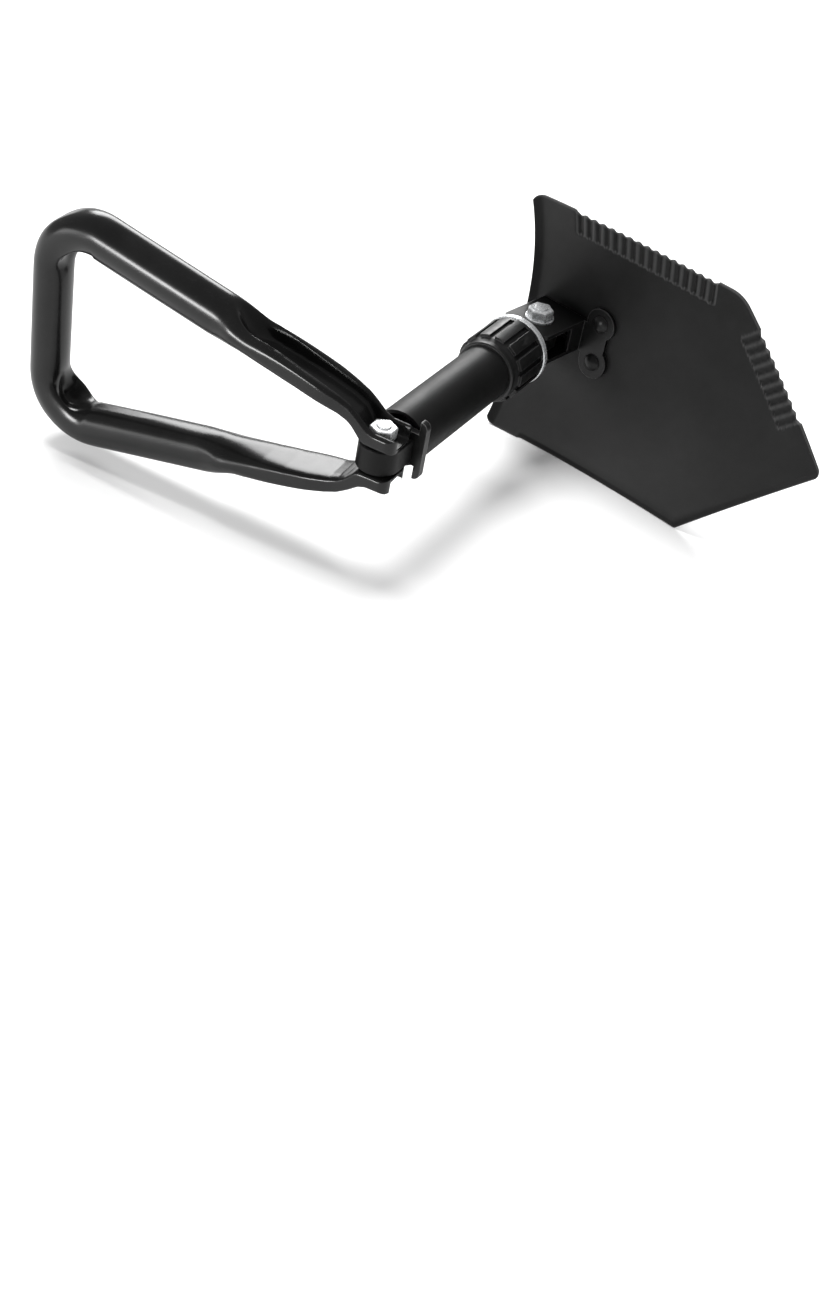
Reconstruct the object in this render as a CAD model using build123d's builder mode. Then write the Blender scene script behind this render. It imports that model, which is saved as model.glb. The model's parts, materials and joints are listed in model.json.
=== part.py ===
from build123d import *
import os
from math import asin, cos, degrees, hypot, radians, sin

# Folding camp shovel: a pressed blade and a tubular loop handle hinge on the two ends of a
# steel core rod. An outer tube, a ribbed nut and a thrust ring slide on the rod and lock
# both hinges. It lies on its side, both hinge axes upright, the shaft along +X.

# ---- driving dimensions: millimetres and degrees -------------------------------------
hinge_spacing = 174.0          # handle hinge to blade hinge, along the shaft
handle_angle = 94.0            # handle direction, turned from +X
blade_angle = -101.0           # blade tip direction, turned from +X
hinge_x = -88.77               # handle hinge, from the middle of the footprint
hinge_y = -14.65
hinge_z = 78.0                 # shaft height above the ground

blade_top = -25.5              # top edge, measured from the blade hinge towards the tip
blade_widest = 116.0           # where the sides end
blade_tip = 191.0
blade_half_width = 78.0
blade_thickness = 2.0
hinge_height = 24.8            # blade hinge above the dished face
shoulder_radius = 7.0
side_corner_radius = 17.0
tip_radius = 5.5
lip_height = 3.0               # top edge strip, bent towards the shaft
lip_width = 5.4
dish_start = -176.0            # apex of the cone that the dish follows
dish_angle = 46.1              # half angle of that cone
bow_radius = 1900.0            # slight lengthwise curve of the blade
bow_centre = 10.0
tooth_pitch = 6.06
side_teeth = 16
side_teeth_start = 5.5
edge_teeth = 9
edge_teeth_start = 24.5        # from the widest corner along the tip edge
tooth_gap_radius = 1.9

plate_thickness = 2.5          # bracket foot
foot_gap = 0.03                # paint between the foot and the blade
ear_inner = 7.5
ear_outer = 9.9
ear_back = -15.5
ear_front = 17.0
ear_height = 15.0              # above the hinge axis
web_thickness = 2.4
web_height = 10.8              # front web, from the hinge to its top
rivet_station = 28.5
rivet_side = 12.8
lobe_radius = 9.7
rivet_shank = 2.5
rivet_head = 5.2
rivet_head_height = 3.0
rivet_tail_height = 1.4
inner_rivets = (-9.0, 7.5)     # stations of the two rivets between the ears

pivot_radius = 4.0
pivot_hole = 4.05
head_across_flats = 13.0
head_height = 5.3
nut_height = 6.5
thin_nut_height = 5.5
washer_radius = 8.5
washer_thickness = 1.2
thread_end = 0.9               # bolt past its nut

rod_radius = 7.2
rod_bore = 4.8
rod_rear = 12.9
rod_front = 154.4
spigot_length = 28.0
knuckle_half = 7.6
knuckle_radius = 12.0
knuckle_face = 12.8
tongue_half = 4.6
tongue_radius = 12.5
tongue_collar = 2.6
pin_radius = 2.0
rear_pin_station = 26.0
front_pin_station = 136.0
slide_gap = 0.08               # running clearance of the sliding pieces

tube_radius = 16.0
tube_bore = 14.0
tube_front = 139.0
flange_rear = 15.3
flange_thickness = 4.0
flange_half = 17.5
flange_corner = 4.0
flange_open_side = 16.0        # how far it reaches under the handle
flange_relief_half = 9.8       # low part that the handle arms swing over
flange_relief_start = -13.2
bush_rear = 112.0
bush_front = 128.0

nut_rear = 110.9
nut_ribs = 118.0
nut_front = 144.2
nut_lip_radius = 18.1
nut_radius = 20.5
nut_grooves = 13
groove_depth = 1.7
groove_width = 3.3
insert_rear = 116.0
insert_radius = 17.6

ring_rear = 144.4
ring_rim = 147.8
ring_front = 150.8
ring_radius = 21.0
ring_face_radius = 17.0

grip_station = 206.4           # handle hinge to the middle of the grip bar
handle_corner = 65.2           # where arm and grip centre lines would meet, from the middle
corner_radius = 27.0
loop_radius = 12.3
loop_bore = 10.8
arm_station = 84.0             # where the round tube turns into an open channel
arm_spread = 39.09
arm_half_width = 12.5
arm_end = -12.0
arm_inner = 7.8
arm_floor = 2.2
arm_end_radius = 5.5
channel_half_width = 9.3
channel_end = -8.5

# ---- frames -------------------------------------------------------------------------
shaft_frame = Location((hinge_x, hinge_y, hinge_z))
handle_frame = shaft_frame * Location((0, 0, 0), (0, 0, handle_angle))
blade_frame = shaft_frame * Location((hinge_spacing, 0, 0), (0, 0, blade_angle))


def level(frame, height=0.0):
    """Plane square to the hinge axes, at a height above the shaft axis."""
    return Plane(frame * Plane.XY.offset(height).location)


def side(frame):
    """Plane through a frame's X axis and the hinge direction."""
    return Plane(frame * Plane.XZ.location)


def across(frame, station):
    """Plane square to a frame's X axis."""
    return Plane(frame * Plane.YZ.offset(station).location)


def axis_in(frame, start, end):
    """Axis through two points given in a frame."""
    plane = Plane(frame)
    first = plane.from_local_coords(Vector(*start))
    last = plane.from_local_coords(Vector(*end))
    return Axis(first, last - first)


shaft_axis = axis_in(shaft_frame, (0, 0, 0), (1, 0, 0))


def turned(points):
    """Solid of revolution about the shaft, from (station, radius) points."""
    with BuildPart() as piece:
        with BuildSketch(side(shaft_frame)):
            with BuildLine():
                Polyline(*points, close=True)
            make_face()
        revolve(axis=shaft_axis)
    return piece.part


def save(part, name):
    part.label = name
    export_step(part, f"parts/{name}.step")


os.makedirs("parts", exist_ok=True)

# ---- core: knuckle, rod, tongue and their pins ---------------------------------------
with BuildPart() as rear_knuckle:
    with BuildSketch(level(shaft_frame)):
        Circle(knuckle_radius)
        with Locations((knuckle_face / 2, 0)):
            Rectangle(knuckle_face, 2 * knuckle_radius)
    extrude(amount=knuckle_half, both=True)
    chamfer(rear_knuckle.faces().sort_by(Axis.Z)[-1].edges(), 0.8)
    chamfer(rear_knuckle.faces().sort_by(Axis.Z)[0].edges(), 0.8)
    with BuildSketch(across(shaft_frame, knuckle_face)):
        Circle(rod_bore)
    extrude(amount=spigot_length)
    with Locations(shaft_frame):
        Cylinder(pivot_hole, 3 * knuckle_half, mode=Mode.SUBTRACT)
    with Locations(shaft_frame * Pos(rear_pin_station, 0, 0)):
        Cylinder(pin_radius, 3 * knuckle_half, mode=Mode.SUBTRACT)
save(rear_knuckle.part, "rear_knuckle")

with BuildPart() as core_rod:
    with BuildSketch(across(shaft_frame, rod_rear)):
        Circle(rod_radius)
        Circle(rod_bore, mode=Mode.SUBTRACT)
    extrude(amount=rod_front - rod_rear)
    for station in (rear_pin_station, front_pin_station):
        with Locations(shaft_frame * Pos(station, 0, 0)):
            Cylinder(pin_radius, 3 * rod_radius, mode=Mode.SUBTRACT)
save(core_rod.part, "core_rod")

tongue_root = rod_front + tongue_collar
with BuildPart() as front_tongue:
    with BuildSketch(level(shaft_frame)):
        with Locations((hinge_spacing, 0)):
            Circle(tongue_radius)
        with Locations(((tongue_root + hinge_spacing) / 2, 0)):
            Rectangle(hinge_spacing - tongue_root, 2 * tongue_radius)
    extrude(amount=tongue_half, both=True)
    chamfer(front_tongue.faces().sort_by(Axis.Z)[-1].edges(), 0.6)
    chamfer(front_tongue.faces().sort_by(Axis.Z)[0].edges(), 0.6)
    with BuildSketch(across(shaft_frame, rod_front)):
        Circle(rod_radius)
    extrude(amount=tongue_collar + 1.0)
    with BuildSketch(across(shaft_frame, rod_front)):
        Circle(rod_bore)
    extrude(amount=-spigot_length)
    with Locations(shaft_frame * Pos(hinge_spacing, 0, 0)):
        Cylinder(pivot_hole, 3 * knuckle_half, mode=Mode.SUBTRACT)
    with Locations(shaft_frame * Pos(front_pin_station, 0, 0)):
        Cylinder(pin_radius, 3 * rod_radius, mode=Mode.SUBTRACT)
save(front_tongue.part, "front_tongue")

for name, station in (("rear_roll_pin", rear_pin_station), ("front_roll_pin", front_pin_station)):
    with BuildPart() as roll_pin:
        with Locations(shaft_frame * Pos(station, 0, 0)):
            Cylinder(pin_radius, 2 * (rod_radius - 0.4))
            Cylinder(pin_radius - 0.7, 2 * rod_radius, mode=Mode.SUBTRACT)
    save(roll_pin.part, name)

# ---- outer tube, its end flange and its guide bush -----------------------------------
flange_front = flange_rear + flange_thickness
with BuildPart() as shaft_tube:
    with BuildSketch(across(shaft_frame, flange_front)):
        Circle(tube_radius)
        Circle(tube_bore, mode=Mode.SUBTRACT)
    extrude(amount=tube_front - flange_front)
    chamfer(shaft_tube.edges().filter_by(GeomType.CIRCLE).sort_by(Axis.X)[-1], 0.6)
save(shaft_tube.part, "shaft_tube")

flange_width = flange_half + flange_open_side
with BuildPart() as end_flange:
    with BuildSketch(across(shaft_frame, flange_rear)):
        with Locations(((flange_open_side - flange_half) / 2, 0)):
            RectangleRounded(flange_width, 2 * flange_half, flange_corner)
        for sign in (-1, 1):
            relief_depth = flange_half - flange_relief_half
            relief_width = flange_open_side - flange_relief_start
            middle_y = flange_relief_start + relief_width / 2
            with Locations((middle_y, sign * (flange_relief_half + relief_depth / 2))):
                Rectangle(relief_width, relief_depth, mode=Mode.SUBTRACT)
        Circle(rod_radius + slide_gap, mode=Mode.SUBTRACT)
    extrude(amount=flange_thickness)
save(end_flange.part, "end_flange")

guide_bush = turned([(bush_rear, rod_radius + slide_gap), (bush_front, rod_radius + slide_gap),
                     (bush_front, tube_bore), (bush_rear, tube_bore)])
save(guide_bush, "guide_bush")

# ---- ribbed lock nut, its threaded insert and the thrust ring ------------------------
nut_bore = tube_radius + slide_gap
with BuildPart() as lock_nut:
    with BuildSketch(across(shaft_frame, nut_ribs)):
        Circle(nut_radius)
        with PolarLocations(nut_radius - groove_depth / 2 + 0.5, nut_grooves):
            Rectangle(groove_depth + 1.0, groove_width, mode=Mode.SUBTRACT)
    extrude(amount=nut_front - nut_ribs)
    add(turned([(nut_rear, 0), (nut_rear, nut_lip_radius - 0.8), (nut_rear + 0.8, nut_lip_radius),
                (nut_rear + 4.0, nut_lip_radius), (nut_ribs, nut_radius - groove_depth),
                (nut_ribs + 2.0, nut_radius - groove_depth), (nut_ribs + 2.0, 0)]))
    add(turned([(nut_front - 2.2, 0), (nut_front - 2.2, nut_radius), (nut_front - 0.6, nut_radius),
                (nut_front, nut_radius - 0.6), (nut_front, 0)]))
    add(turned([(nut_rear - 1, 0), (nut_rear - 1, nut_bore), (insert_rear, nut_bore),
                (insert_rear, insert_radius), (nut_front + 1, insert_radius),
                (nut_front + 1, 0)]), mode=Mode.SUBTRACT)
save(lock_nut.part, "lock_nut")

nut_insert = turned([(insert_rear, nut_bore), (nut_front, nut_bore),
                     (nut_front, insert_radius), (insert_rear, insert_radius)])
save(nut_insert, "nut_insert")

ring_bore = rod_radius + slide_gap
lock_ring = turned([(ring_rear, ring_bore), (ring_front, ring_bore), (ring_front, ring_face_radius),
                    (ring_rim, ring_radius), (ring_rear + 0.6, ring_radius),
                    (ring_rear, ring_radius - 0.6)])
save(lock_ring, "lock_ring")


# ---- dished sheets that the blade and the bracket foot are cut from ------------------
def bow_point(depth, station):
    """Point on the lengthwise curve, `depth` behind the dished face."""
    radius = bow_radius + depth
    angle = asin((station - bow_centre) / bow_radius)
    return (bow_centre + radius * sin(angle), hinge_height - bow_radius + radius * cos(angle))


def dished_sheet(near, far):
    """Sheet between two depths behind the dished face, curved across like a cone."""
    first, middle, last = blade_top - 30, 80, blade_tip + 20
    slope = radians(dish_angle)
    cone_axis = axis_in(blade_frame, (dish_start, hinge_height, 0),
                        (dish_start + cos(slope), hinge_height - sin(slope), 0))
    with BuildPart() as sheet:
        with BuildSketch(level(blade_frame)):
            with BuildLine():
                ThreePointArc(*[bow_point(near, s) for s in (first, middle, last)])
                Line(bow_point(near, last), bow_point(far, last))
                ThreePointArc(*[bow_point(far, s) for s in (last, middle, first)])
                Line(bow_point(far, first), bow_point(near, first))
            make_face()
        revolve(axis=cone_axis)
    return sheet.part


def pressed(outline, near, far):
    """Plate with this outline, pressed to the dish between two depths."""
    sheet = dished_sheet(near, far)
    with BuildPart() as plate:
        extrude(outline, amount=45, both=True)
        add(sheet, mode=Mode.INTERSECT)
    return plate.part


# ---- blade --------------------------------------------------------------------------
tip_edge = Vector(blade_tip - blade_widest, -blade_half_width).normalized()
tooth_points = []
for tooth in range(side_teeth):
    tooth_points.append((side_teeth_start + tooth * tooth_pitch, blade_half_width + 0.8))
for tooth in range(edge_teeth):
    reach = edge_teeth_start + tooth * tooth_pitch
    tooth_points.append((blade_widest + reach * tip_edge.X + 0.6,
                         blade_half_width + reach * tip_edge.Y + 0.6))

with BuildSketch(side(blade_frame)) as blade_outline:
    with BuildLine():
        FilletPolyline((blade_top, -blade_half_width), (blade_widest, -blade_half_width),
                       (blade_tip, 0), (blade_widest, blade_half_width),
                       (blade_top, blade_half_width), close=True,
                       radius=[shoulder_radius, 1.0, tip_radius, side_corner_radius,
                               shoulder_radius])
    make_face()
    with Locations(*tooth_points):
        Circle(tooth_gap_radius, mode=Mode.SUBTRACT)

rivet_points = [(rivet_station, rivet_side), (rivet_station, -rivet_side)]
rivet_points += [(station, 0) for station in inner_rivets]

blade_plate = pressed(blade_outline.sketch, 0, blade_thickness)
blade_axis = axis_in(blade_frame, (0, 0, 0), (1, 0, 0))
strip_axis = axis_in(blade_frame, (lip_width, lip_height, 0), (0, 0, 0))
with BuildPart() as bent_sheet:
    add(blade_plate)
    with BuildSketch(side(blade_frame)):
        with Locations((blade_top, 0)):
            Rectangle(2 * lip_width, 3 * blade_half_width)
    extrude(amount=45, both=True, mode=Mode.SUBTRACT)
    top_face = bent_sheet.faces().sort_by(blade_axis)[0]
    extrude(top_face, amount=hypot(lip_width, lip_height), dir=strip_axis.direction)

with BuildPart() as blade:
    extrude(blade_outline.sketch, amount=45, both=True)
    add(bent_sheet.part, mode=Mode.INTERSECT)
    with BuildSketch(side(blade_frame)):
        with Locations(*rivet_points):
            Circle(rivet_shank)
    extrude(amount=45, both=True, mode=Mode.SUBTRACT)
save(blade.part, "blade")

# ---- bracket: foot on the blade, two ears round the tongue ---------------------------
with BuildSketch(side(blade_frame)) as foot_outline:
    with Locations(((ear_back + rivet_station) / 2, 0)):
        Rectangle(rivet_station - ear_back, 2 * ear_outer)
    with Locations((rivet_station, rivet_side), (rivet_station, -rivet_side)):
        Circle(lobe_radius)
    with Locations((rivet_station - 2, 0)):
        Rectangle(lobe_radius * 1.6, 2 * rivet_side)
    with Locations((rivet_station + 1.4 * lobe_radius, 0)):
        Circle(lobe_radius * 0.8, mode=Mode.SUBTRACT)

foot_plate = pressed(foot_outline.sketch, -plate_thickness, -foot_gap)
ear_foot = hinge_height - plate_thickness / 2
with BuildPart() as blade_bracket:
    add(foot_plate)
    for height in (ear_inner, -ear_outer):
        with BuildSketch(level(blade_frame, height)):
            with BuildLine():
                FilletPolyline((ear_back, -ear_height), (ear_front, -ear_height),
                               (ear_front, ear_foot), (ear_back, ear_foot), close=True,
                               radius=[3.5, 3.5, 0, 0])
            make_face()
        extrude(amount=ear_outer - ear_inner)
    with BuildSketch(level(blade_frame)):
        with Locations((ear_front - web_thickness / 2, (web_height + ear_foot) / 2)):
            Rectangle(web_thickness, ear_foot - web_height)
    extrude(amount=ear_outer, both=True)
    with Locations(blade_frame):
        Cylinder(pivot_hole, 3 * ear_outer, mode=Mode.SUBTRACT)
    with BuildSketch(side(blade_frame)):
        with Locations(*rivet_points):
            Circle(rivet_shank)
    extrude(amount=45, both=True, mode=Mode.SUBTRACT)
save(blade_bracket.part, "blade_bracket")

# ---- rivets: shank, domed head on the bracket, flat tail behind the blade ------------
def rivet_frame(station, offset):
    """Frame on the dished face with its Y axis square to it."""
    cross_radius = (station - dish_start) * sin(radians(dish_angle)) / cos(radians(dish_angle))
    rise = offset ** 2 / 2 / cross_radius + (station - bow_centre) ** 2 / 2 / bow_radius
    tilt = degrees(asin(offset / cross_radius))
    return blade_frame * Location((station, hinge_height - rise, offset), (tilt, 0, 0))


dome_height = rivet_head_height - 0.4
dome_radius = (rivet_head ** 2 + dome_height ** 2) / 2 / dome_height
dome_turn = asin(rivet_head / dome_radius) / 2
rivet_seat = -plate_thickness - 0.07
rivet_back = blade_thickness + 0.07
crown = rivet_seat - rivet_head_height
dome_middle = (dome_radius * sin(dome_turn), crown + dome_radius * (1 - cos(dome_turn)))
with BuildPart() as blade_rivets:
    for station, offset in rivet_points:
        rivet = rivet_frame(station, offset)
        with BuildSketch(level(rivet)):
            with BuildLine():
                Polyline((0, crown), (0, rivet_back + rivet_tail_height),
                         (rivet_head - 0.7, rivet_back + rivet_tail_height),
                         (rivet_head, rivet_back), (rivet_shank - 0.1, rivet_back),
                         (rivet_shank - 0.1, rivet_seat), (rivet_head, rivet_seat),
                         (rivet_head, rivet_seat - 0.4))
                ThreePointArc((rivet_head, rivet_seat - 0.4), dome_middle, (0, crown))
            make_face()
        revolve(axis=axis_in(rivet, (0, 0, 0), (0, 1, 0)))
save(blade_rivets.part, "blade_rivets")


# ---- pivot bolts, nuts and washer ----------------------------------------------------
def hexagon_radius():
    return head_across_flats / 2 / cos(radians(30))


def pivot_bolt(frame, seat, end):
    """Hex bolt with its head below the lower seat and its thread end on top."""
    with BuildPart() as bolt:
        with BuildSketch(level(frame, -seat)):
            RegularPolygon(hexagon_radius(), 6, rotation=30)
        extrude(amount=-head_height)
        chamfer(bolt.faces().sort_by(Axis.Z)[0].edges(), 0.5)
        with BuildSketch(level(frame, -seat)):
            Circle(pivot_radius)
        extrude(amount=seat + end)
        chamfer(bolt.faces().sort_by(Axis.Z)[-1].edges(), 0.5)
    return bolt.part


def pivot_nut(frame, seat, height):
    """Hex nut on the upper seat."""
    with BuildPart() as nut:
        with BuildSketch(level(frame, seat)):
            RegularPolygon(hexagon_radius(), 6, rotation=30)
        extrude(amount=height)
        chamfer(nut.faces().sort_by(Axis.Z)[-1].edges(), 0.5)
        with BuildSketch(level(frame, seat)):
            Circle(pivot_radius)
        extrude(amount=height, mode=Mode.SUBTRACT)
    return nut.part


blade_nut_seat = ear_outer + washer_thickness
save(pivot_bolt(blade_frame, ear_outer, blade_nut_seat + thin_nut_height + thread_end),
     "blade_pivot_bolt")
save(pivot_nut(blade_frame, blade_nut_seat, thin_nut_height), "blade_pivot_nut")
with BuildPart() as blade_pivot_washer:
    with BuildSketch(level(blade_frame, ear_outer)):
        Circle(washer_radius)
        Circle(pivot_radius, mode=Mode.SUBTRACT)
    extrude(amount=washer_thickness)
save(blade_pivot_washer.part, "blade_pivot_washer")

handle_seat = arm_inner + arm_floor
save(pivot_bolt(handle_frame, handle_seat, handle_seat + nut_height + thread_end),
     "handle_pivot_bolt")
save(pivot_nut(handle_frame, handle_seat, nut_height), "handle_pivot_nut")

# ---- handle: one tube bent to a loop, its ends pressed to open channels --------------
arm_inner_line = [(arm_end, arm_inner), (6, arm_inner), (14, 16.4), (22, 19.6), (35, 22.4),
                  (48, 25.0), (62, 27.0), (92, 28.2)]
arm_rim_line = [(92, 50.0), (61, 39.8), (36, 32.4), (23, 28.4), (10, 23.4), (1, 16.9),
                (arm_end, 16.9)]
channel_line = [(channel_end, handle_seat), (6.8, handle_seat), (13.2, 18.2), (22, 21.8),
                (35, 24.6), (48, 27.2), (62, 29.2), (76, 30.6), (90, 62), (channel_end, 62)]

with BuildPart() as handle_loop:
    with BuildLine(side(handle_frame)) as loop_path:
        FilletPolyline((arm_station, arm_spread), (grip_station, handle_corner),
                       (grip_station, -handle_corner), (arm_station, -arm_spread),
                       radius=corner_radius)
    with BuildSketch(Plane(origin=loop_path.line @ 0, z_dir=loop_path.line % 0)):
        Circle(loop_radius)
        Circle(loop_bore, mode=Mode.SUBTRACT)
    sweep(path=loop_path.line)
    for sign in (1, -1):
        with BuildSketch(side(handle_frame)):
            with BuildLine():
                Polyline(*[(p, sign * z) for p, z in arm_inner_line + arm_rim_line], close=True)
            make_face()
        extrude(amount=arm_half_width, both=True)
    for sign in (1, -1):
        with BuildSketch(side(handle_frame)):
            with BuildLine():
                Polyline(*[(p, sign * z) for p, z in channel_line], close=True)
            make_face()
        extrude(amount=channel_half_width, both=True, mode=Mode.SUBTRACT)
    along_handle = axis_in(handle_frame, (0, 0, 0), (1, 0, 0))
    fillet(handle_loop.edges().filter_by(Axis.Z).sort_by(along_handle)[:4], arm_end_radius)
    with Locations(handle_frame):
        Cylinder(pivot_hole, 4 * handle_seat, mode=Mode.SUBTRACT)
save(handle_loop.part, "handle_loop")
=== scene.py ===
import bpy
import json
import math
import numpy as np
from mathutils import Matrix, Vector


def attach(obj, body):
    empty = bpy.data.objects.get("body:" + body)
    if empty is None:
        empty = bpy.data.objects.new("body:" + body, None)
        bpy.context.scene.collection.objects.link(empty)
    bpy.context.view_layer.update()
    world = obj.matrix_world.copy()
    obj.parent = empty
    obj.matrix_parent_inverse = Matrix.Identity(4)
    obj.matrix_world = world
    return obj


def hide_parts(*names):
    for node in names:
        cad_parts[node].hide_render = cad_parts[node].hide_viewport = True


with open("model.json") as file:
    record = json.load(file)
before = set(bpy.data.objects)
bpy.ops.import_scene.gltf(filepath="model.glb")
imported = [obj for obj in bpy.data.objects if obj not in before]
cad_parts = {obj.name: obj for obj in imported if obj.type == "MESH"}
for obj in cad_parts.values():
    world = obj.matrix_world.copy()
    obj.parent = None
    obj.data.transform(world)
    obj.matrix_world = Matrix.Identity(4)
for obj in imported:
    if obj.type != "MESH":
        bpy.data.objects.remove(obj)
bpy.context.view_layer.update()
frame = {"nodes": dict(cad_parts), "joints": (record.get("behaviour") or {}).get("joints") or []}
scene = bpy.context.scene
MM = 0.001

# ---- the two folding parts: hinges from the frame, and their directions at rest ---------
joints = {joint["name"]: joint for joint in frame["joints"]}
blade_hinge = np.array(joints["blade_fold"]["pos_m"]) / MM
handle_hinge = np.array(joints["handle_fold"]["pos_m"]) / MM
HANDLE_ANGLE = math.radians(94.0)
BLADE_ANGLE = math.radians(-101.0)


def directions(angle):
    """Unit vectors along and beside a folding part."""
    along = np.array([math.cos(angle), math.sin(angle), 0.0])
    beside = np.array([-math.sin(angle), math.cos(angle), 0.0])
    return along, beside


handle_along, handle_beside = directions(HANDLE_ANGLE)
blade_along, blade_beside = directions(BLADE_ANGLE)
upward = np.array([0.0, 0.0, 1.0])


def on_handle(p, side, z):
    """Points in mm: p along the handle, side across its plane, z up."""
    p, side, z = (value[..., None] for value in np.broadcast_arrays(p, side, z))
    return handle_hinge + p * handle_along + side * handle_beside + z * upward


def on_blade(u, v, depth):
    """Points in mm: u towards the tip, v up, depth behind the blade hinge."""
    u, v, depth = (value[..., None] for value in np.broadcast_arrays(u, v, depth))
    return blade_hinge + u * blade_along + depth * blade_beside + v * upward


def smooth(t):
    """0 to 1 with level ends, as t goes from 0 to 1."""
    t = np.clip(t, 0.0, 1.0)
    return t * t * (3 - 2 * t)


def spread(*runs):
    """Numbers along several (start, end, step) runs."""
    parts = [np.linspace(a, b, max(2, int(round(abs(b - a) / step)) + 1)) for a, b, step in runs]
    return np.unique(np.round(np.concatenate(parts), 4))


# ---- mesh helpers ----------------------------------------------------------------------
def mesh_object(name, points, faces, material):
    """New smooth mesh object from points in mm."""
    mesh = bpy.data.meshes.new(name)
    mesh.from_pydata([tuple(p) for p in np.asarray(points) * MM], [], faces)
    mesh.validate()
    obj = bpy.data.objects.new(name, mesh)
    scene.collection.objects.link(obj)
    mesh.materials.append(material)
    mesh.polygons.foreach_set("use_smooth", [True] * len(mesh.polygons))
    return obj


def paint_values(obj, name, values):
    """Per-vertex number that a material reads."""
    layer = obj.data.attributes.new(name, "FLOAT", "POINT")
    layer.data.foreach_set("value", np.asarray(values, np.float32).ravel())


def carry(obj, body, slot, *nodes):
    """Ride a body and stand for CAD nodes, which are hidden. The slot is not used."""
    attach(obj, body)
    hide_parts(*nodes)
    return obj


# ---- material helpers ------------------------------------------------------------------
NOISE_LOW, NOISE_HIGH = 0.3, 0.7           # most of a noise texture lies between these
MIX_FIRST, MIX_SECOND, MIX_COLOUR = 6, 7, 2  # a Mix node's colour inputs and output
EDGE_ON_START, EDGE_ON_END = 0.50, 0.90    # slant from which the shine falls away
EDGE_ON_SHINE = 0.04                       # share of the shine that is left at the end


def grey(level):
    return (level, level, level)


def new_material(name):
    material = bpy.data.materials.new(name)
    material.use_nodes = True
    tree = material.node_tree
    shader = tree.nodes["Principled BSDF"]
    return material, tree, shader


def noise(tree, scale, detail=4.0, rough=0.55, stretch=None):
    """Noise on the object's own coordinates, stretched along some axes if asked."""
    coords = tree.nodes.new("ShaderNodeTexCoord")
    texture = tree.nodes.new("ShaderNodeTexNoise")
    texture.inputs["Scale"].default_value = scale
    texture.inputs["Detail"].default_value = detail
    texture.inputs["Roughness"].default_value = rough
    source = coords.outputs["Object"]
    if stretch:
        mapping = tree.nodes.new("ShaderNodeMapping")
        mapping.inputs["Scale"].default_value = stretch
        tree.links.new(source, mapping.inputs["Vector"])
        source = mapping.outputs["Vector"]
    tree.links.new(source, texture.inputs["Vector"])
    return texture.outputs["Fac"]


def ramp(tree, value, stops):
    """Colour ramp through (place, colour) stops."""
    node = tree.nodes.new("ShaderNodeValToRGB")
    elements = node.color_ramp.elements
    while len(elements) < len(stops):
        elements.new(0.5)
    for element, (place, colour) in zip(elements, stops):
        element.position = place
        element.color = (*colour, 1.0)
    tree.links.new(value, node.inputs["Fac"])
    return node.outputs["Color"]


def remapped(tree, value, span, result):
    """Value moved from one (low, high) span to another."""
    node = tree.nodes.new("ShaderNodeMapRange")
    node.inputs["From Min"].default_value, node.inputs["From Max"].default_value = span
    node.inputs["To Min"].default_value, node.inputs["To Max"].default_value = result
    tree.links.new(value, node.inputs["Value"])
    return node.outputs["Result"]


def vary_roughness(tree, shader, value, low, high):
    rough = remapped(tree, value, (NOISE_LOW, NOISE_HIGH), (low, high))
    tree.links.new(rough, shader.inputs["Roughness"])


def mixed(tree, factor, first, second):
    """Colour mix of a socket with a colour."""
    node = tree.nodes.new("ShaderNodeMix")
    node.data_type = "RGBA"
    tree.links.new(factor, node.inputs[0])
    tree.links.new(first, node.inputs[MIX_FIRST])
    node.inputs[MIX_SECOND].default_value = (*second, 1.0)
    return node.outputs[MIX_COLOUR]


def attribute(tree, name):
    node = tree.nodes.new("ShaderNodeAttribute")
    node.attribute_name = name
    return node.outputs["Fac"]


def softened_normal(tree, radius):
    """Normal that rounds every edge by this radius in metres."""
    edge = tree.nodes.new("ShaderNodeBevel")
    edge.samples = 4
    edge.inputs["Radius"].default_value = radius
    return edge.outputs["Normal"]


def bumped(tree, shader, layers, soften=0.0):
    """Chain of bumps, each (height output, distance in metres, strength)."""
    normal = softened_normal(tree, soften) if soften else None
    for height, distance, strength in layers:
        bump = tree.nodes.new("ShaderNodeBump")
        bump.inputs["Distance"].default_value = distance
        bump.inputs["Strength"].default_value = strength
        tree.links.new(height, bump.inputs["Height"])
        if normal is not None:
            tree.links.new(normal, bump.inputs["Normal"])
        normal = bump.outputs["Normal"]
    tree.links.new(normal, shader.inputs["Normal"])


def edge_mask(tree, width, stops):
    """Bright near sharp edges, where the softened normal leaves the true one."""
    shape = tree.nodes.new("ShaderNodeNewGeometry")
    facing = tree.nodes.new("ShaderNodeVectorMath")
    facing.operation = "DOT_PRODUCT"
    tree.links.new(softened_normal(tree, width), facing.inputs[0])
    tree.links.new(shape.outputs["Normal"], facing.inputs[1])
    return ramp(tree, facing.outputs["Value"], stops)


def edge_dark_gloss(tree, shader, gloss):
    """Less shine where a surface is seen edge on, so that outlines stay dark."""
    slant = tree.nodes.new("ShaderNodeLayerWeight")
    slant.inputs["Blend"].default_value = 0.5
    shine = remapped(tree, slant.outputs["Facing"], (EDGE_ON_START, EDGE_ON_END),
                     (gloss, gloss * EDGE_ON_SHINE))
    tree.links.new(shine, shader.inputs["Specular IOR Level"])


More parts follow.
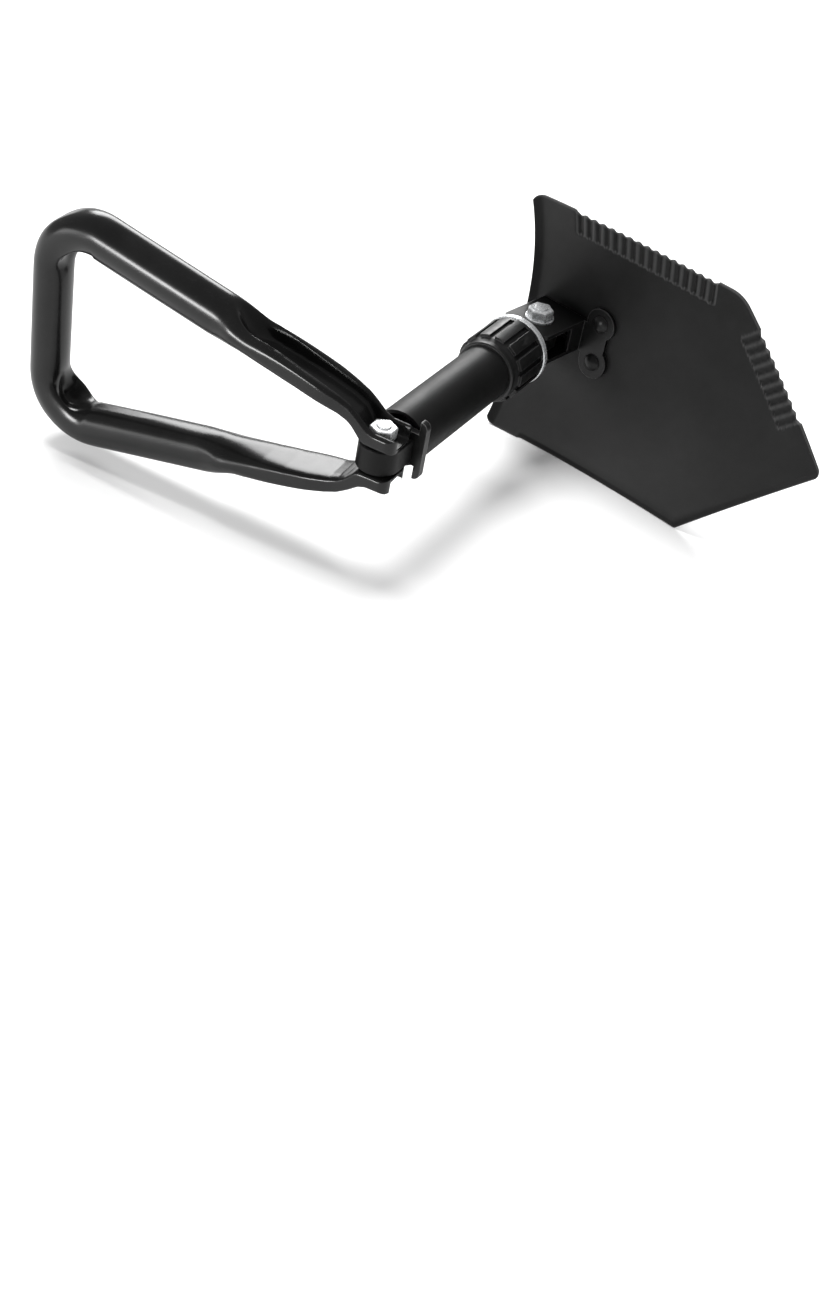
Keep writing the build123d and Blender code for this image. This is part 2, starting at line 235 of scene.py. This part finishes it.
# ---- materials -------------------------------------------------------------------------
def black_paint(name, base, rough, grain, grain_strength, gloss, peel=0.0, wear_and_sheen_colour=None, soften=0.0,
                edge=0.0):
    """Black paint or powder coat: slight mottling, fine grain, paler places of wear and of a painted
    sheen.

    grain is the scale of the fine grain, peel the strength of the orange peel, wear_and_sheen_colour
    the colour under the wear_and_sheen attribute, which holds real wear and a painted sheen, soften
    the rounding of edges in metres and edge their rubbed grey.
    """
    material, tree, shader = new_material(name)
    cloud = noise(tree, 38.0, 5.0)
    colour = ramp(tree, cloud, [(0.30, grey(base * 0.75)), (0.72, grey(base * 1.35))])
    speck = noise(tree, grain, 2.0, 0.7)
    flecks = ramp(tree, speck, [(0.66, grey(0.0)), (0.80, grey(1.0))])
    colour = mixed(tree, flecks, colour, grey(base * 2.6))
    # the wear_and_sheen attribute pales the colour for real wear and for a painted sheen that stands
    # in for light
    if wear_and_sheen_colour:
        colour = mixed(tree, attribute(tree, "wear_and_sheen"), colour, wear_and_sheen_colour)
    if edge:
        paler_share = edge_mask(tree, soften, [(0.80, grey(0.85)), (0.97, grey(0.0))])
        colour = mixed(tree, paler_share, colour, grey(edge))
    tree.links.new(colour, shader.inputs["Base Color"])
    vary_roughness(tree, shader, noise(tree, 90.0, 3.0), rough * 0.93, rough * 1.08)
    edge_dark_gloss(tree, shader, gloss)
    layers = [(speck, 0.0002, grain_strength)]
    if peel:
        layers.append((noise(tree, 420.0, 1.5), 0.0003, peel))
    bumped(tree, shader, layers, soften)
    return material


def moulded_plastic():
    """Matt black plastic, scuffed round the nut and rubbed on its ribs."""
    material, tree, shader = new_material("nut_plastic")
    cloud = noise(tree, 60.0, 4.0)
    colour = ramp(tree, cloud, [(0.3, grey(0.005)), (0.75, grey(0.011))])
    scuffs = noise(tree, 300.0, 6.0, 0.65, stretch=(0.25, 1.0, 1.0))
    marks = ramp(tree, scuffs, [(0.60, grey(0.0)), (0.75, grey(0.45))])
    colour = mixed(tree, marks, colour, grey(0.06))
    paler_share = edge_mask(tree, 0.0007, [(0.82, grey(0.7)), (0.97, grey(0.0))])
    colour = mixed(tree, paler_share, colour, grey(0.09))
    tree.links.new(colour, shader.inputs["Base Color"])
    edge_dark_gloss(tree, shader, 0.34)
    vary_roughness(tree, shader, noise(tree, 160.0), 0.30, 0.48)
    bumped(tree, shader, [(noise(tree, 1800.0, 2.0), 0.0002, 0.12)], 0.0006)
    return material


def zinc_plate():
    """Bright zinc with duller stains."""
    material, tree, shader = new_material("zinc_plate")
    cloud = noise(tree, 110.0, 4.0)
    colour = ramp(tree, cloud, [(0.25, (0.50, 0.51, 0.52)), (0.6, (0.74, 0.75, 0.76)),
                                (0.8, (0.86, 0.87, 0.88))])
    stains = ramp(tree, noise(tree, 260.0, 6.0, 0.7), [(0.56, grey(0.0)), (0.74, grey(0.6))])
    colour = mixed(tree, stains, colour, (0.30, 0.30, 0.31))
    tree.links.new(colour, shader.inputs["Base Color"])
    shader.inputs["Metallic"].default_value = 0.60
    vary_roughness(tree, shader, noise(tree, 500.0, 3.0), 0.16, 0.38)
    bumped(tree, shader, [(noise(tree, 900.0, 3.0), 0.0002, 0.18)], 0.0005)
    return material


def phosphated_steel():
    """Dark drawn steel, with marks that run along the shaft."""
    material, tree, shader = new_material("core_steel")
    cloud = noise(tree, 150.0, 5.0)
    colour = ramp(tree, cloud, [(0.3, grey(0.10)), (0.7, grey(0.22))])
    tree.links.new(colour, shader.inputs["Base Color"])
    shader.inputs["Metallic"].default_value = 0.85
    drawn = noise(tree, 700.0, 2.0, stretch=(0.15, 1.0, 1.0))
    vary_roughness(tree, shader, drawn, 0.28, 0.5)
    marks = noise(tree, 1200.0, 2.0, stretch=(0.1, 1.0, 1.0))
    bumped(tree, shader, [(marks, 0.0002, 0.15)], 0.0004)
    return material


# the blade's paler colour marks its wear and also a painted sheen on its lower face
blade_paint = black_paint("blade_paint", base=0.005, rough=0.42, grain=2600.0, grain_strength=0.30,
                          gloss=0.12, peel=0.05, wear_and_sheen_colour=grey(0.075))
bracket_paint = black_paint("bracket_paint", base=0.005, rough=0.34, grain=2400.0,
                            grain_strength=0.12, gloss=0.20, peel=0.05, soften=0.0008, edge=0.08)
handle_paint = black_paint("handle_paint", base=0.005, rough=0.22, grain=1500.0,
                           grain_strength=0.04, gloss=0.25, peel=0.05)
tube_paint = black_paint("tube_paint", base=0.006, rough=0.46, grain=2600.0, grain_strength=0.12,
                         gloss=0.20, peel=0.03)
flange_paint = black_paint("flange_paint", base=0.008, rough=0.32, grain=2200.0,
                           grain_strength=0.10, gloss=0.30, soften=0.0007, edge=0.30)
knuckle_paint = black_paint("knuckle_paint", base=0.003, rough=0.40, grain=2400.0,
                            grain_strength=0.12, gloss=0.12, soften=0.0006)
nut_plastic = moulded_plastic()
zinc = zinc_plate()
core_steel = phosphated_steel()

finish = {
    "rear_knuckle": knuckle_paint, "front_tongue": bracket_paint, "core_rod": core_steel,
    "rear_roll_pin": core_steel, "front_roll_pin": core_steel, "shaft_tube": tube_paint,
    "end_flange": flange_paint, "guide_bush": nut_plastic, "lock_nut": nut_plastic,
    "nut_insert": core_steel, "lock_ring": zinc, "blade": blade_paint,
    "blade_bracket": bracket_paint, "blade_rivets": bracket_paint, "blade_pivot_bolt": zinc,
    "blade_pivot_nut": zinc, "blade_pivot_washer": zinc, "handle_pivot_bolt": zinc,
    "handle_pivot_nut": zinc, "handle_loop": handle_paint,
}
for name, material in finish.items():
    node = frame["nodes"][name]
    node.data.materials.clear()
    node.data.materials.append(material)


# ---- blade: dished sheet with a bent strip, ground serrations and sharpened edges -------
# u runs towards the tip from the hinge, v is the height above it; the top edge is toothed
BLADE_TOP, BLADE_WIDEST, BLADE_TIP, BLADE_HALF = -25.5, 116.0, 191.0, 78.0
SHOULDER, TIP_ROUND = 7.0, 5.5
TOOTHED_CORNER, PLAIN_CORNER = 17.0, 2.0
FACE_DEPTH, SHEET = 24.8, 2.0
# the dish is a cone with its tip at DISH_START, bowed a little lengthwise
DISH_START, DISH_TAN = -176.0, math.tan(math.radians(46.1))
BOW_CENTRE, BOW_DIAMETER = 10.0, 3800.0
STRIP_WIDTH, STRIP_LIFT, STRIP_BEND = 5.4, 3.0, 1.2
# teeth along the side and along the sharp edge: set-back, depth of gap, and the ground flutes
PITCH, SIDE_TEETH, SIDE_START, EDGE_TEETH, EDGE_START = 6.06, 16, 5.5, 9, 24.5
SIDE_SET, EDGE_SET, GAP_DEPTH = 1.2, 1.0, 1.5
RUN_LEAD, RUN_EASE = 0.62, 0.12
FLUTE_LENGTH, FLUTE_RUNOUT, CREST_CUT, GAP_CUT, GAP_SHAPE = 16.6, 1.3, 0.22, 1.15, 1.2
# the plain edges are ground on the face that looks at the shaft
GRIND_START, GRIND_EASE, GRIND_WIDTH, GRIND_DEPTH, EDGE_LAND = -3.0, 2.0, 3.8, 1.6, 0.35
# bands of close mesh rows beside each edge, and the half widths from which they close up
TOP_BAND, TOP_CLOSING, LOW_BAND, LOW_CLOSING, MIDDLE_ROWS = 27.0, 27.5, 4.2, 4.6, 30

edge_slope = BLADE_HALF / (BLADE_TIP - BLADE_WIDEST)
edge_length = math.hypot(1.0, edge_slope)
edge_turn = math.atan(edge_slope)
tip_centre = BLADE_TIP - TIP_ROUND / math.cos(math.pi / 2 - edge_turn)


def rise(u, v):
    """How far the dished face stands towards the shaft from its centre."""
    reach = u - DISH_START
    lever = DISH_TAN ** 2 - 1
    cone = (np.sqrt((reach * DISH_TAN) ** 2 + lever * v * v) - reach * DISH_TAN) / lever
    return cone + (u - BOW_CENTRE) ** 2 / BOW_DIAMETER


def strip_lift(u):
    """How far the strip along the end by the hinge is bent towards the shaft."""
    past = BLADE_TOP + STRIP_WIDTH - u
    eased = (past + np.sqrt(past ** 2 + STRIP_BEND)) / 2
    end = (STRIP_WIDTH + math.sqrt(STRIP_WIDTH ** 2 + STRIP_BEND)) / 2
    return STRIP_LIFT * eased / end


def plain_side(u, corner):
    """Half width of the outline at u, with this radius at its widest corner."""
    v = np.where(u < BLADE_WIDEST, BLADE_HALF, (BLADE_TIP - u) * edge_slope)
    shoulder = BLADE_TOP + SHOULDER
    drop = np.clip(shoulder - u, 0, SHOULDER)
    v = np.where(u < shoulder, BLADE_HALF - SHOULDER + np.sqrt(SHOULDER ** 2 - drop ** 2), v)
    start = BLADE_WIDEST - corner * math.tan(edge_turn / 2)
    end = start + corner * math.sin(edge_turn)
    arc = BLADE_HALF - corner + np.sqrt(np.clip(corner ** 2 - (u - start) ** 2, 0, None))
    v = np.where((u > start) & (u < end), arc, v)
    tip = np.sqrt(np.clip(TIP_ROUND ** 2 - (u - tip_centre) ** 2, 0, None))
    return np.where(u > tip_centre + TIP_ROUND * math.sin(edge_turn), tip, v)


def tooth_wave(run, start, count):
    """1 in a gap to 0 on a crest along a toothed run, and how far the run is in force."""
    phase = (run - start) / PITCH
    wave = 0.5 + 0.5 * np.cos(2 * math.pi * phase)
    inside = smooth((phase + RUN_LEAD) / RUN_EASE)
    inside = inside * smooth((count - 1 + RUN_LEAD - phase) / RUN_EASE)
    return wave, inside


def along_edge(u, v):
    """Distance along the toothed sharp edge from the blade's widest place."""
    return ((u - BLADE_WIDEST) - (v - BLADE_HALF) * edge_slope) / edge_length


def flute_depth(wave, inside, reach):
    """Depth of the flutes at this reach from their toothed edge."""
    ground = CREST_CUT + GAP_CUT * wave ** GAP_SHAPE
    return inside * ground * smooth((FLUTE_LENGTH - reach) / FLUTE_RUNOUT)


def flute_cut(u, v):
    """Depth that the serrations are ground into the face."""
    side = flute_depth(*tooth_wave(u, SIDE_START, SIDE_TEETH), BLADE_HALF - v)
    reach = ((BLADE_TIP - u) * edge_slope - v) / edge_length
    edge = flute_depth(*tooth_wave(along_edge(u, v), EDGE_START, EDGE_TEETH), reach)
    return np.maximum(side, np.where(u > BLADE_WIDEST + 4, edge, 0.0))


def toothed_side(u):
    """Height of the toothed edge at u."""
    side_wave, side_in = tooth_wave(u, SIDE_START, SIDE_TEETH)
    v = plain_side(u, TOOTHED_CORNER) - side_in * (SIDE_SET + GAP_DEPTH * side_wave)
    # a place on the sharp edge depends on its own height, so it is found in a few steps
    cut = v
    for _ in range(6):
        edge_wave, edge_in = tooth_wave(along_edge(u, cut), EDGE_START, EDGE_TEETH)
        target = v - edge_in * (EDGE_SET + GAP_DEPTH * edge_wave) * edge_length
        cut = np.where(u > BLADE_WIDEST + 3, 0.5 * (cut + target), v)
    return cut


def blade_grid():
    """u and v of the mesh grid, its reach from the nearer edge, and the plain edge's v."""
    tip_end = tip_centre + TIP_ROUND
    # the steps are shortest at the ends, along the teeth and round the corners
    stations = spread((BLADE_TOP, BLADE_TOP + 0.7, 0.35), (BLADE_TOP + 0.7, -17, 0.5), (-17, 2, 1.2),
                      (2, 103, PITCH / 9), (103, 116, 1.0), (116, 174, 0.62),
                      (174, tip_end - 1.0, 0.8), (tip_end - 1.0, tip_end, 0.2))
    v_top = toothed_side(stations)
    v_low = -plain_side(stations, PLAIN_CORNER)
    half_width = (v_top - v_low) / 2
    top_reach = spread((0.0, 0.7, 0.35), (0.7, TOP_BAND, 0.9))[:, None]
    low_reach = spread((0.0, 0.7, 0.35), (0.7, LOW_BAND, 0.7))[::-1, None]
    top_rows = v_top - top_reach * np.minimum(1, half_width / TOP_CLOSING)
    low_rows = v_low + low_reach * np.minimum(1, half_width / LOW_CLOSING)
    across = np.linspace(0, 1, MIDDLE_ROWS)[1:-1, None]
    middle_rows = top_rows[-1] + (low_rows[0] - top_rows[-1]) * across
    v = np.concatenate([top_rows, middle_rows, low_rows])
    middle_reach = np.full(across.shape, LOW_BAND * 2)
    reach = np.broadcast_to(np.concatenate([top_reach, middle_reach, low_reach]), v.shape)
    return np.broadcast_to(stations, v.shape), v, reach, v_low


def grid_faces(index):
    """Quads between the neighbours of a grid of vertex numbers."""
    corners = index[:-1, :-1], index[:-1, 1:], index[1:, 1:], index[1:, :-1]
    return np.stack(corners, axis=-1).reshape(-1, 4).tolist()


def build_blade():
    u, v, reach, v_low = blade_grid()
    cut = flute_cut(u, v)
    low_edge = np.minimum(v - v_low, (v + (BLADE_TIP - u) * edge_slope) / edge_length)
    ground = np.clip((GRIND_WIDTH - low_edge) / GRIND_WIDTH, 0, 1) * GRIND_DEPTH
    bevel = smooth((u - GRIND_START) / GRIND_EASE) * ground
    sheet = FACE_DEPTH - rise(u, v) - strip_lift(u)
    front_depth = sheet + cut + bevel
    front = on_blade(u, v, front_depth)
    back = on_blade(u, v, np.maximum(sheet + SHEET, front_depth + EDGE_LAND))
    # the two skins share their rim, which sits at half the thickness
    rim = np.ones(v.shape, bool)
    rim[1:-1, 1:-1] = False
    front[rim] = ((front + back) / 2)[rim]
    front_index = np.arange(v.size).reshape(v.shape)
    back_index = np.where(rim, front_index, front_index + v.size)
    # the back's grid is turned over, so that its faces look outwards
    faces = grid_faces(front_index) + grid_faces(back_index.T)
    points = np.concatenate([front.reshape(-1, 3), back.reshape(-1, 3)])
    obj = mesh_object("blade_sheet", points, faces, blade_paint)
    # digging rubs crests and edges, and a painted sheen pales the lower half of the face, but not
    # what is ground
    crest = np.clip(1.0 - cut / 0.7, 0, 1) * (cut > 0.1)
    edge_wear = np.clip(1 - reach / 1.2, 0, 1) * 0.7
    # painted sheen: a broad paler patch low on the face stands in for light falling on it
    paler_share = np.exp(-((u - 55) / 75) ** 2 - ((v + 38) / 46) ** 2) * 0.12
    paler_share = paler_share * np.clip(1 - bevel / 0.3, 0, 1) * np.clip(1 - cut / 0.3, 0, 1)
    front_wear_and_sheen = edge_wear + crest * 0.5 + paler_share
    paint_values(obj, "wear_and_sheen", np.concatenate([front_wear_and_sheen, edge_wear * 0.6]))
    return carry(obj, "blade_head", "blade_paint", "blade")


build_blade()


# ---- handle: one bent tube, dented at the bends, crushed to channels at its ends ---------
# p runs along the handle from its hinge and z is the height above its middle
GRIP, CORNER_Z, BEND_R, TUBE_R = 206.4, 65.2, 27.0, 12.3
ARM_P, ARM_Z, ARM_END, END_R, ARM_HALF, ARM_BULGE = 84.0, 39.09, -12.0, 5.5, 12.5, 1.7
RING, RING_STEP, BEND_STEPS, GRIP_STEPS = 96, 0.8, 30, 16
NO_BEND_NEAR = -200.0
# crushed length of an arm, share of its width that is pushed in, and the channel's half width
CRUSH_START, BRIM, CHANNEL_HALF = 104, 0.80, 9.3
# how far a channel's wall takes to fall, as a share of its half width, and the lip above it
WALL_SHARE, WALL_ROUND, LIP = 0.42, 0.6, 0.5
PRESSED_FLAT = 1.3
# at a bend: its spread, extra width, and the dent, ridges and dimple; then the grip's flat
BEND_SPREAD, BEND_WIDER, DENT, RIDGE, DIMPLE, GRIP_FLAT = 15.0, 0.40, 8.5, 1.8, 2.2, 0.16
# heights of a crushed arm as (p, z): the face towards the other arm, the rim and the channel floor
INNER_LINE = [(-12, 7.8), (5.2, 7.8), (7, 8.6), (10, 12.0), (13, 15.2), (16, 17.3), (22, 19.6),
              (35, 22.4), (48, 25.0), (62, 27.0), (80, 28.4), (92, 29.6), (104, 31.6)]
RIM_LINE = [(-12, 16.6), (0, 16.9), (4, 18.4), (10, 23.2), (16, 27.2), (23, 30.0), (36, 33.8),
            (61, 40.8), (78, 45.8), (92, 51.6), (104, 55.9)]
FLOOR_LINE = [(-12, 10.0), (6.0, 10.0), (8.5, 12.0), (11.5, 16.4), (14.5, 20.0), (22, 23.4),
              (35, 26.9), (48, 29.9), (62, 32.6), (80, 36.0), (92, 41.0), (104, 48.0)]


def height_on(line, p):
    return np.interp(p, *zip(*line))


def handle_stations():
    """Centreline of one half as (p, z, direction, distance past the bend's start), and the
    length of the bend."""
    slope = math.atan2(CORNER_Z - ARM_Z, GRIP - ARM_P)
    turn = math.pi / 2 + slope
    bend = BEND_R * turn
    bend_s = math.hypot(GRIP - ARM_P, CORNER_Z - ARM_Z) - BEND_R * math.tan(turn / 2)
    start = np.array([ARM_P, ARM_Z])
    along = np.array([math.cos(slope), math.sin(slope)])
    inward = np.array([math.sin(slope), -math.cos(slope)])
    near_p = ARM_P - 30 * math.cos(slope)
    crushed = [*np.arange(near_p - RING_STEP, ARM_END - 0.01, -RING_STEP), ARM_END]
    stations = [(p, ARM_Z + (p - ARM_P) * math.tan(slope), slope, NO_BEND_NEAR)
                for p in crushed[::-1]]
    for s in spread((-30, 18, 0.9), (18, bend_s, 2.5)):
        stations.append((*(start + along * s), slope, s - bend_s))
    centre = start + along * bend_s + inward * BEND_R
    for t in np.linspace(0, 1, BEND_STEPS)[1:]:
        angle = slope - turn * t
        out = np.array([-math.sin(angle), math.cos(angle)])
        stations.append((*(centre + BEND_R * out), angle, bend * t))
    grip_half = stations[-1][1]
    for z in np.linspace(grip_half, 0, GRIP_STEPS)[1:]:
        stations.append((GRIP, z, -math.pi / 2, bend + grip_half - z))
    return stations, bend


def signed_power(value, power):
    return np.sign(value) * np.abs(value) ** power


def pressed_flat(out, p):
    """The ring's inner half, pressed flat towards the other arm, more so near the hinge."""
    flat = TUBE_R - PRESSED_FLAT * smooth((150 - p) / 50)
    deep = np.clip(-out / flat, 0, None)
    pressed = -flat * deep / (1 + deep ** 8) ** 0.125 * (1 + 2 ** -3.2)
    return np.maximum(np.where(out < 0, pressed, out), -TUBE_R)


def crushed_section(p, z, c, s):
    """Ring of a boxy arm, with its outer half pushed in against its inner half."""
    inner, rim, floor = (height_on(line, p) - z for line in (INNER_LINE, RIM_LINE, FLOOR_LINE))
    # the section turns from round to square towards the hinge
    square = 2.0 + 3.2 * smooth((84 - p) / 50)
    c_box, s_box = signed_power(c, 2 / square), signed_power(s, 2 / square)
    half = ARM_HALF + ARM_BULGE * smooth((p - 16) / 20) * smooth((106 - p) / 20)
    out = (inner + rim) / 2 + (rim - inner) / 2 * c_box
    beside = half * s_box
    across = np.clip(s_box / BRIM, -1, 1)
    fallen = smooth((1.0 - np.abs(across)) / WALL_SHARE)
    channel_out = rim - LIP + (floor - rim + LIP) * fallen
    channel_beside = signed_power(across, WALL_ROUND) * CHANNEL_HALF
    pushed = (c > 0) & (np.abs(s_box) < BRIM)
    # the channel starts in a curve, further along the arm in its middle than at its sides
    crushed = pushed * smooth((99 - 18 * np.abs(across) ** 2 - p) / 24)
    return out + (channel_out - out) * crushed, beside + (channel_beside - beside) * crushed


def handle_section(p, z, past, bend):
    """Ring of (out, beside) offsets about the centreline point."""
    theta = np.linspace(0, 2 * math.pi, RING, endpoint=False)
    c, s = np.cos(theta), np.sin(theta)
    out, beside = TUBE_R * c, TUBE_R * s
    if past < 0:
        out = pressed_flat(out, p)
    if p < CRUSH_START and past < 0:
        crushed_out, crushed_beside = crushed_section(p, z, c, s)
        blend = smooth((CRUSH_START - p) / 16)
        out = out + (crushed_out - out) * blend
        beside = beside + (crushed_beside - beside) * blend
    near_bend = math.exp(-((past - bend / 2) / BEND_SPREAD) ** 2)
    out = out * (1 - GRIP_FLAT * smooth((past - bend / 2) / 24))
    # the bend is wider on its far side, and kinked in on its inside between two ridges
    beside = np.where(s < 0, beside * (1 + BEND_WIDER * near_bend), beside)
    dent = np.exp(-(s / 0.62) ** 2) * np.clip(-c, 0, 1)
    ridge = np.exp(-((np.abs(s) - 0.80) / 0.17) ** 2) * (c < 0)
    dimple = np.exp(-(s / 0.6) ** 2) * np.clip(c, 0, 1)
    return out + (dent * DENT - ridge * RIDGE - dimple * DIMPLE) * near_bend, beside


def build_handle():
    stations, bend = handle_stations()
    rings = []
    for p, z, angle, past in stations:
        out, beside = handle_section(p, z, past, bend)
        tilt = angle * smooth((p - 40) / 60) if past < 0 else angle
        ring_p, ring_z = p - out * math.sin(tilt), z + out * math.cos(tilt)
        if p < ARM_END + END_R:
            # the end of the arm is cut with rounded corners
            half = ARM_HALF - END_R + math.sqrt(END_R ** 2 - (ARM_END + END_R - p) ** 2)
            beside = np.clip(beside, -half, half)
        rings.append((ring_p, beside, ring_z))
    rings += [(ring_p, beside, -ring_z) for ring_p, beside, ring_z in rings[-2::-1]]
    index = np.arange(len(rings) * RING).reshape(len(rings), RING)
    around = np.concatenate([index, index[:, :1]], axis=1)
    faces = grid_faces(around) + [index[0, ::-1].tolist(), index[-1].tolist()]
    points = np.concatenate([on_handle(*ring) for ring in rings])
    obj = mesh_object("handle_tube", points, faces, handle_paint)
    return carry(obj, "handle", "handle_paint", "handle_loop")


build_handle()


# ---- floor, world and lights -----------------------------------------------------------
FLOOR_HALF = 6


def plain_floor():
    material, _, shader = new_material("studio_floor")
    shader.inputs["Base Color"].default_value = (0.86, 0.86, 0.86, 1.0)
    shader.inputs["Roughness"].default_value = 0.9
    shader.inputs["Specular IOR Level"].default_value = 0.1
    mesh = bpy.data.meshes.new("floor")
    turns = [(-1, -1), (1, -1), (1, 1), (-1, 1)]
    mesh.from_pydata([(x * FLOOR_HALF, y * FLOOR_HALF, 0) for x, y in turns], [], [(0, 1, 2, 3)])
    obj = bpy.data.objects.new("floor", mesh)
    scene.collection.objects.link(obj)
    mesh.materials.append(material)


def soft_box(name, place, target, width, height, power):
    """Rectangular area light that looks at a target; metres and watts."""
    light = bpy.data.lights.new(name, "AREA")
    light.shape = "RECTANGLE"
    light.size, light.size_y = width, height
    light.energy = power
    obj = bpy.data.objects.new(name, light)
    scene.collection.objects.link(obj)
    obj.location = place
    obj.rotation_euler = (Vector(target) - Vector(place)).to_track_quat("-Z", "Y").to_euler()
    return obj


plain_floor()
scene.view_settings.view_transform = "Standard"
scene.view_settings.look = "None"
world = bpy.data.worlds.new("studio")
scene.world = world
world.use_nodes = True
background = world.node_tree.nodes["Background"]
background.inputs["Color"].default_value = (1.0, 1.0, 1.0, 1.0)
background.inputs["Strength"].default_value = 0.32

overhead = soft_box("overhead_light", (0.3, 0.9, 3.4), (0, 0, 0.05), 1.7, 1.7, 165)
overhead.visible_glossy = False
soft_box("back_light", (1.05, 0.80, 0.66), (0, 0.05, 0.05), 0.75, 0.60, 15.5)
soft_box("front_light", (-1.31, 0.40, 0.21), (0, 0.05, 0.08), 0.40, 0.26, 16)
soft_box("left_light", (-1.10, 1.00, 0.18), (0.05, -0.05, 0.06), 0.5, 0.30, 3)

# ---- camera at the photograph's viewing angle ------------------------------------------
YAW, PITCH_DOWN, ROLL = (math.radians(angle) for angle in (-65.87, 38.73, 11.47))
LENS, SENSOR = 52.12, 36.0
# the camera's place from the handle's hinge, in mm: right, up and back in its own directions
FROM_HINGE = (17.93, -102.79, 979.72)

camera_data = bpy.data.cameras.new("camera")
camera = bpy.data.objects.new("camera", camera_data)
scene.collection.objects.link(camera)
scene.camera = camera
camera_data.sensor_fit = "AUTO"
camera_data.sensor_width = SENSOR
camera_data.lens = LENS
camera_data.clip_start = 0.05
level = math.cos(PITCH_DOWN)
view_back = np.array([math.sin(YAW) * level, -math.cos(YAW) * level, math.sin(PITCH_DOWN)])
level_right = np.array([math.cos(YAW), math.sin(YAW), 0.0])
level_up = np.cross(view_back, level_right)
view_right = math.cos(ROLL) * level_right + math.sin(ROLL) * level_up
view_up = -math.sin(ROLL) * level_right + math.cos(ROLL) * level_up
view = np.stack([view_right, view_up, view_back], axis=1)
place = (handle_hinge + view @ np.array(FROM_HINGE)) * MM
rows = np.column_stack([view, place]).tolist()
camera.matrix_world = Matrix(rows + [[0.0, 0.0, 0.0, 1.0]])
